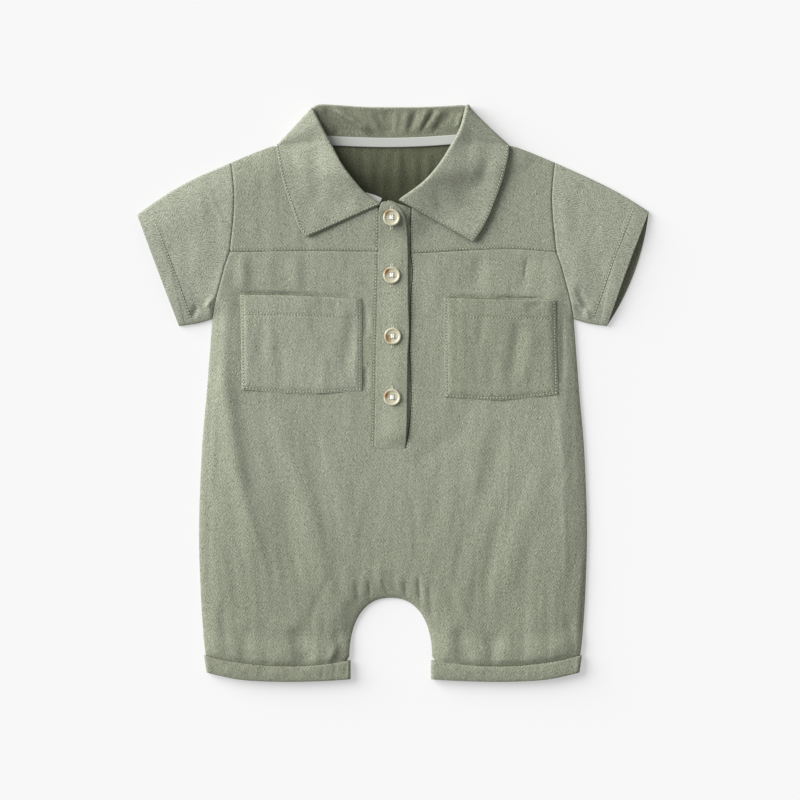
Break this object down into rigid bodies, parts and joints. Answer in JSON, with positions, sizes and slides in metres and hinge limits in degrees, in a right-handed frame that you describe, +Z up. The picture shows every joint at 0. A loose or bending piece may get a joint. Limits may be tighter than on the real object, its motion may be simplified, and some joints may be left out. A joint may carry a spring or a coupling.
{
  "type": "baby romper",
  "caption": "Short-sleeved, short-legged baby romper laid flat on its back, with a pointed shirt collar, a half placket with buttons, a yoke, patch pockets and cuffed legs.",
  "frame": {"origin": "middle of the garment's footprint, on the surface it lies on", "axes": "+X to the right as seen from above with the collar up, +Y from the leg cuffs to the collar, +Z up off the surface, the way the buttons face"},
  "size_m": [0.383, 0.4332, 0.014],
  "materials": {
    "cotton": "slub cotton, matt",
    "tape": "white cotton twill tape",
    "horn": "horn-like resin, satin"
  },
  "bodies": {
    "root": {"back": "cotton", "front": "cotton", "yoke_left": "cotton", "yoke_right": "cotton", "sleeve_left": "cotton", "sleeve_right": "cotton", "cuff_left": "cotton", "cuff_right": "cotton", "pocket_left": "cotton", "pocket_right": "cotton", "placket_strip": "cotton", "placket_underlap": "cotton", "collar": "cotton", "neck_tape_back": "tape", "neck_tape_front": "tape", "button_1": "horn", "button_2": "horn", "button_3": "horn", "button_4": "horn"}
  },
  "joints": []
}
